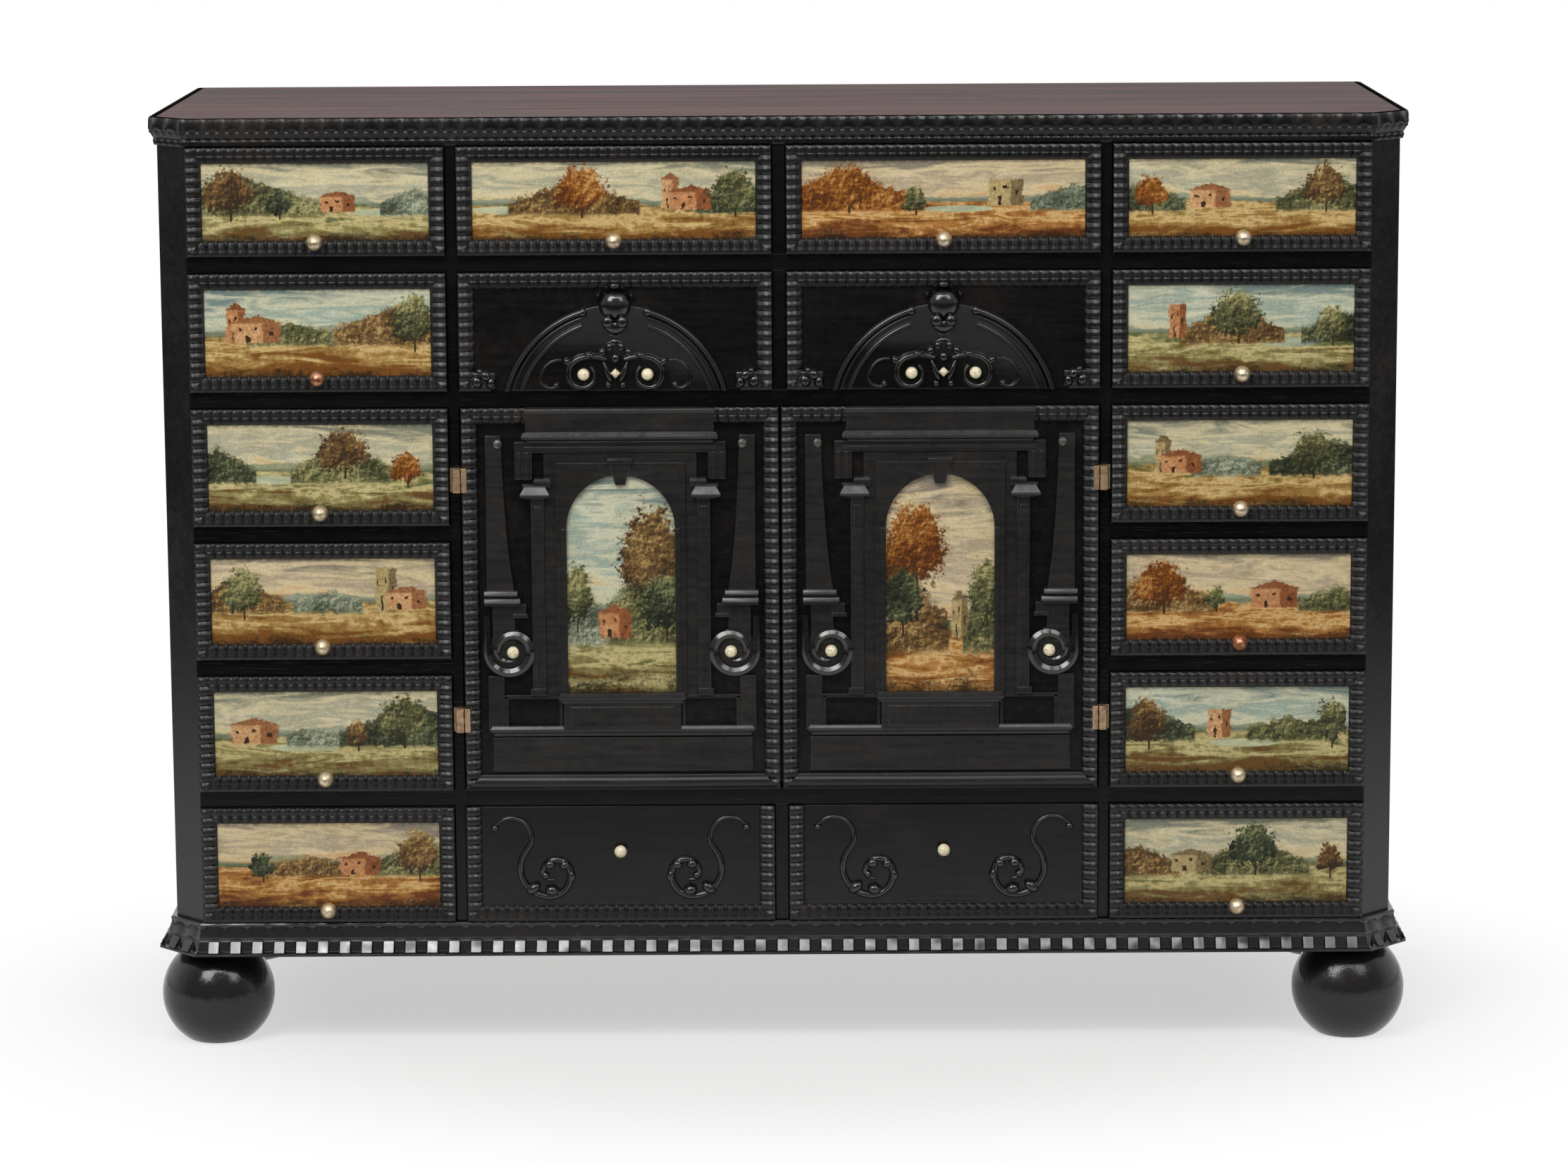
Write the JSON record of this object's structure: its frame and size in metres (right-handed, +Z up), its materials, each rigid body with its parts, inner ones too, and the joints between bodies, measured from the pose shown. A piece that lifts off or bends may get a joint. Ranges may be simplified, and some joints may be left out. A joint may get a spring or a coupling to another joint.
{
  "type": "table cabinet",
  "caption": "Ebonised table cabinet with painted drawers round two portico doors, ripple mouldings and ball feet, for papers and valuables.",
  "frame": {"origin": "middle of the underside, on the surface that the feet stand on", "axes": "+X to the viewer's right along the front, -Y out of the front, +Z up"},
  "size_m": [1, 0.356, 0.7426],
  "materials": {
    "ebonised_wood": "polished black stain over fruitwood",
    "ebonised_moulding": "glossy black ripple moulding",
    "stained_top_wood": "plum-brown stained board with worn polish",
    "oak": "plain oak, planed",
    "painted_panel": "varnished oil painting on panel",
    "brass": "aged cast brass",
    "bone": "turned and polished bone"
  },
  "bodies": {
    "carcass": {"back_panel": "oak", "base_moulding": "ebonised_moulding", "bottom_board": "oak", "bun_feet": "ebonised_wood", "centre_dust_boards": "ebonised_wood", "corner_posts": "ebonised_wood", "cornice_moulding": "ebonised_moulding", "fixed_hinge_leaves": "brass", "left_dust_boards": "ebonised_wood", "left_side_board": "ebonised_wood", "partitions": "ebonised_wood", "right_dust_boards": "ebonised_wood", "right_side_board": "ebonised_wood", "top_board": "stained_top_wood"},
    "door_left": {"door_left_frame": "ebonised_moulding", "door_left_hinge_leaves": "brass", "door_left_leaf": "ebonised_wood", "door_left_picture": "painted_panel", "door_left_portico": "ebonised_wood"},
    "door_right": {"door_right_frame": "ebonised_moulding", "door_right_hinge_leaves": "brass", "door_right_leaf": "ebonised_wood", "door_right_picture": "painted_panel", "door_right_portico": "ebonised_wood"},
    "drawer_left_low": {"drawer_left_low_box": "oak", "drawer_left_low_front": "ebonised_moulding"},
    "drawer_left_pediment": {"drawer_left_pediment_box": "oak", "drawer_left_pediment_front": "ebonised_moulding"},
    "drawer_left_side_1": {"drawer_left_side_1_box": "oak", "drawer_left_side_1_front": "ebonised_moulding"},
    "drawer_left_side_2": {"drawer_left_side_2_box": "oak", "drawer_left_side_2_front": "ebonised_moulding"},
    "drawer_left_side_3": {"drawer_left_side_3_box": "oak", "drawer_left_side_3_front": "ebonised_moulding"},
    "drawer_left_side_4": {"drawer_left_side_4_box": "oak", "drawer_left_side_4_front": "ebonised_moulding"},
    "drawer_left_side_5": {"drawer_left_side_5_box": "oak", "drawer_left_side_5_front": "ebonised_moulding"},
    "drawer_left_side_6": {"drawer_left_side_6_box": "oak", "drawer_left_side_6_front": "ebonised_moulding"},
    "drawer_left_top": {"drawer_left_top_box": "oak", "drawer_left_top_front": "ebonised_moulding"},
    "drawer_right_low": {"drawer_right_low_box": "oak", "drawer_right_low_front": "ebonised_moulding"},
    "drawer_right_pediment": {"drawer_right_pediment_box": "oak", "drawer_right_pediment_front": "ebonised_moulding"},
    "drawer_right_side_1": {"drawer_right_side_1_box": "oak", "drawer_right_side_1_front": "ebonised_moulding"},
    "drawer_right_side_2": {"drawer_right_side_2_box": "oak", "drawer_right_side_2_front": "ebonised_moulding"},
    "drawer_right_side_3": {"drawer_right_side_3_box": "oak", "drawer_right_side_3_front": "ebonised_moulding"},
    "drawer_right_side_4": {"drawer_right_side_4_box": "oak", "drawer_right_side_4_front": "ebonised_moulding"},
    "drawer_right_side_5": {"drawer_right_side_5_box": "oak", "drawer_right_side_5_front": "ebonised_moulding"},
    "drawer_right_side_6": {"drawer_right_side_6_box": "oak", "drawer_right_side_6_front": "ebonised_moulding"},
    "drawer_right_top": {"drawer_right_top_box": "oak", "drawer_right_top_front": "ebonised_moulding"}
  },
  "joints": [
    {"name": "drawer_left_low_slide", "type": "slide", "parent": "carcass", "child": "drawer_left_low", "axis": [0, -1, 0], "range_m": [0, 0.24]},
    {"name": "drawer_left_pediment_slide", "type": "slide", "parent": "carcass", "child": "drawer_left_pediment", "axis": [0, -1, 0], "range_m": [0, 0.24]},
    {"name": "drawer_left_side_1_slide", "type": "slide", "parent": "carcass", "child": "drawer_left_side_1", "axis": [0, -1, 0], "range_m": [0, 0.24]},
    {"name": "drawer_left_side_2_slide", "type": "slide", "parent": "carcass", "child": "drawer_left_side_2", "axis": [0, -1, 0], "range_m": [0, 0.24]},
    {"name": "drawer_left_side_3_slide", "type": "slide", "parent": "carcass", "child": "drawer_left_side_3", "axis": [0, -1, 0], "range_m": [0, 0.24]},
    {"name": "drawer_left_side_4_slide", "type": "slide", "parent": "carcass", "child": "drawer_left_side_4", "axis": [0, -1, 0], "range_m": [0, 0.24]},
    {"name": "drawer_left_side_5_slide", "type": "slide", "parent": "carcass", "child": "drawer_left_side_5", "axis": [0, -1, 0], "range_m": [0, 0.24]},
    {"name": "drawer_left_side_6_slide", "type": "slide", "parent": "carcass", "child": "drawer_left_side_6", "axis": [0, -1, 0], "range_m": [0, 0.24]},
    {"name": "drawer_left_top_slide", "type": "slide", "parent": "carcass", "child": "drawer_left_top", "axis": [0, -1, 0], "range_m": [0, 0.24]},
    {"name": "drawer_right_low_slide", "type": "slide", "parent": "carcass", "child": "drawer_right_low", "axis": [0, -1, 0], "range_m": [0, 0.24]},
    {"name": "drawer_right_pediment_slide", "type": "slide", "parent": "carcass", "child": "drawer_right_pediment", "axis": [0, -1, 0], "range_m": [0, 0.24]},
    {"name": "drawer_right_side_1_slide", "type": "slide", "parent": "carcass", "child": "drawer_right_side_1", "axis": [0, -1, 0], "range_m": [0, 0.24]},
    {"name": "drawer_right_side_2_slide", "type": "slide", "parent": "carcass", "child": "drawer_right_side_2", "axis": [0, -1, 0], "range_m": [0, 0.24]},
    {"name": "drawer_right_side_3_slide", "type": "slide", "parent": "carcass", "child": "drawer_right_side_3", "axis": [0, -1, 0], "range_m": [0, 0.24]},
    {"name": "drawer_right_side_4_slide", "type": "slide", "parent": "carcass", "child": "drawer_right_side_4", "axis": [0, -1, 0], "range_m": [0, 0.24]},
    {"name": "drawer_right_side_5_slide", "type": "slide", "parent": "carcass", "child": "drawer_right_side_5", "axis": [0, -1, 0], "range_m": [0, 0.24]},
    {"name": "drawer_right_side_6_slide", "type": "slide", "parent": "carcass", "child": "drawer_right_side_6", "axis": [0, -1, 0], "range_m": [0, 0.24]},
    {"name": "drawer_right_top_slide", "type": "slide", "parent": "carcass", "child": "drawer_right_top", "axis": [0, -1, 0], "range_m": [0, 0.24]},
    {"name": "door_right_hinge", "type": "hinge", "parent": "carcass", "child": "door_right", "pos_m": [0.2541, -0.162, 0.3618], "axis": [0, 0, 1], "range_deg": [0, 90]},
    {"name": "door_left_hinge", "type": "hinge", "parent": "carcass", "child": "door_left", "pos_m": [-0.2541, -0.162, 0.3618], "axis": [0, 0, -1], "range_deg": [0, 90]}
  ]
}
